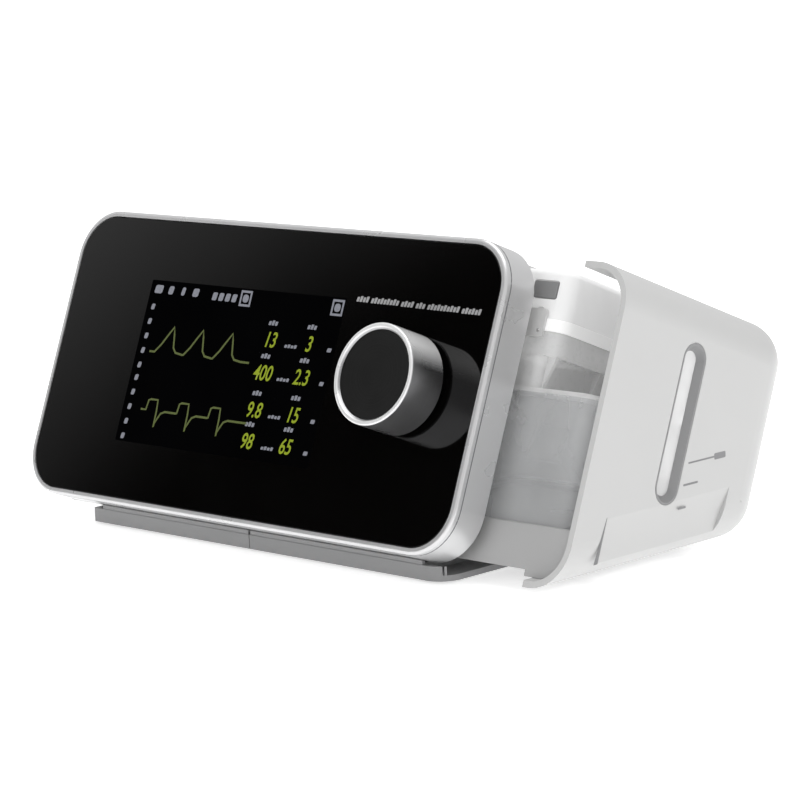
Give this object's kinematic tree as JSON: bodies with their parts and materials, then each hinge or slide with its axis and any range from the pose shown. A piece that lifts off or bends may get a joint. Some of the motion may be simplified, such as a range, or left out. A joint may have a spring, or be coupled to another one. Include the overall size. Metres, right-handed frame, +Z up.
{
  "type": "mechanical ventilator",
  "caption": "Tabletop non-invasive ventilator: leaning glass panel in a silver bezel, push-and-turn knob, and a heated humidifier tank on a slide-out side carriage.",
  "frame": {"origin": "centre of the bounding box at rest, on the table under the feet", "axes": "+X to the right seen from the front (towards the water tank), +Y to the rear, +Z up"},
  "size_m": [0.283, 0.165, 0.123],
  "materials": {
    "silver_plastic": "satin",
    "black_glass": "polished",
    "display": "glossy",
    "pressed_steel": "brushed",
    "circuit_board": "satin",
    "white_plastic": "fine texture",
    "grey_plastic": "fine texture",
    "black_plastic": "satin",
    "inner_plastic": "satin",
    "impeller_plastic": "satin",
    "fixings": "satin",
    "bearing_steel": "polished",
    "spring_wire": "satin",
    "motor_can": "satin",
    "knob_metal": "satin",
    "knob_inset": "satin",
    "dark_rubber": "matt",
    "grey_rubber": "matt",
    "silicone": "matt",
    "heater_metal": "satin",
    "heater_film": "satin",
    "filter_foam": "open foam",
    "port_metal": "satin",
    "card_plastic": "satin",
    "outlet_plastic": "satin",
    "speaker_cone": "satin",
    "clear_plastic": "clear",
    "tray_plastic": "satin",
    "tank_metal": "satin"
  },
  "bodies": {
    "main": {"front_bezel": "silver_plastic", "front_glass": "black_glass", "display_module": "display", "display_bracket": "pressed_steel", "control_board": "circuit_board", "mid_frame": "white_plastic", "encoder_body": "black_plastic", "encoder_nut": "fixings", "housing_shell": "white_plastic", "bottom_plate": "white_plastic", "main_base": "grey_plastic", "dock_base": "grey_plastic", "rubber_feet": "dark_rubber", "screws": "fixings", "bay_liner": "white_plastic", "port_seals": "silicone", "heater_springs": "spring_wire", "main_board": "circuit_board", "blower_bracket": "pressed_steel", "blower_mounts": "silicone", "blower_base": "inner_plastic", "blower_cover": "inner_plastic", "motor_body": "motor_can", "motor_bearings": "bearing_steel", "muffler_box": "inner_plastic", "filter_pad": "filter_foam", "dc_inlet": "black_plastic", "switch_body": "black_plastic", "comm_port": "port_metal", "card_socket": "black_plastic", "blower_duct": "silicone", "flow_sensor": "inner_plastic", "patient_duct": "silicone", "patient_outlet": "outlet_plastic", "speaker": "speaker_cone"},
    "plunger": {"encoder_plunger": "fixings"},
    "knob": {"encoder_shaft": "fixings", "knob_ring": "knob_metal", "knob_hub": "knob_metal", "knob_cap": "knob_inset"},
    "heater": {"heater_plate": "heater_metal", "heater_element": "heater_film"},
    "rotor": {"impeller": "impeller_plastic", "motor_shaft": "fixings"},
    "filter_door": {"filter_door": "white_plastic"},
    "rocker": {"power_rocker": "black_plastic"},
    "flap": {"port_flap": "grey_rubber"},
    "card": {"memory_card": "card_plastic"},
    "drawer": {"side_cover": "white_plastic", "slot_window": "grey_plastic", "slot_lens": "clear_plastic", "cover_screws": "fixings", "drawer_tray": "tray_plastic", "tank_basin": "clear_plastic", "tank_base_plate": "tank_metal", "tank_chamber": "clear_plastic", "lid_seal": "silicone", "tank_lid": "clear_plastic", "lid_latch": "white_plastic"},
    "button": {"lid_button": "grey_plastic"}
  },
  "joints": [
    {"name": "drawer_slide", "type": "slide", "parent": "main", "child": "drawer", "axis": [1, 0, 0], "range_m": [-0.042, 0.072]},
    {"name": "knob_press", "type": "slide", "parent": "main", "child": "plunger", "axis": [0, 0.9289, -0.3702], "range_m": [0, 0.0008], "stiffness_N_per_m": 3000, "springref_m": -0.0004},
    {"name": "knob_spin", "type": "hinge", "parent": "plunger", "child": "knob", "pos_m": [0.0613, -0.05746, 0.06981], "axis": [0, -0.9289, 0.3702], "continuous": true},
    {"name": "filter_door_hinge", "type": "hinge", "parent": "main", "child": "filter_door", "pos_m": [-0.1005, 0.04852, 0.02456], "axis": [-1, 0, 0], "range_deg": [0, 95]},
    {"name": "port_flap_hinge", "type": "hinge", "parent": "main", "child": "flap", "pos_m": [-0.0625, 0.06119, 0.05525], "axis": [1, 0, 0], "range_deg": [0, 90]},
    {"name": "power_rocker_tilt", "type": "hinge", "parent": "main", "child": "rocker", "pos_m": [-0.03, 0.04752, 0.02689], "axis": [0, -0.3702, -0.9289], "range_deg": [0, 16]},
    {"name": "memory_card_slide", "type": "slide", "parent": "main", "child": "card", "axis": [-1, 0, 0], "range_m": [0, 0.028]},
    {"name": "impeller_spin", "type": "hinge", "parent": "main", "child": "rotor", "pos_m": [-0.0875, -0.00661, 0.063], "axis": [0, 0, 1], "continuous": true},
    {"name": "heater_float", "type": "slide", "parent": "main", "child": "heater", "axis": [0, 0, 1], "range_m": [-0.002, 0], "stiffness_N_per_m": 1200, "springref_m": 0.002, "deforming": ["heater_springs"]},
    {"name": "lid_button_press", "type": "slide", "parent": "drawer", "child": "button", "axis": [0, 0.9289, -0.3702], "range_m": [0, 0.0012], "stiffness_N_per_m": 1500, "springref_m": -0.0005}
  ]
}
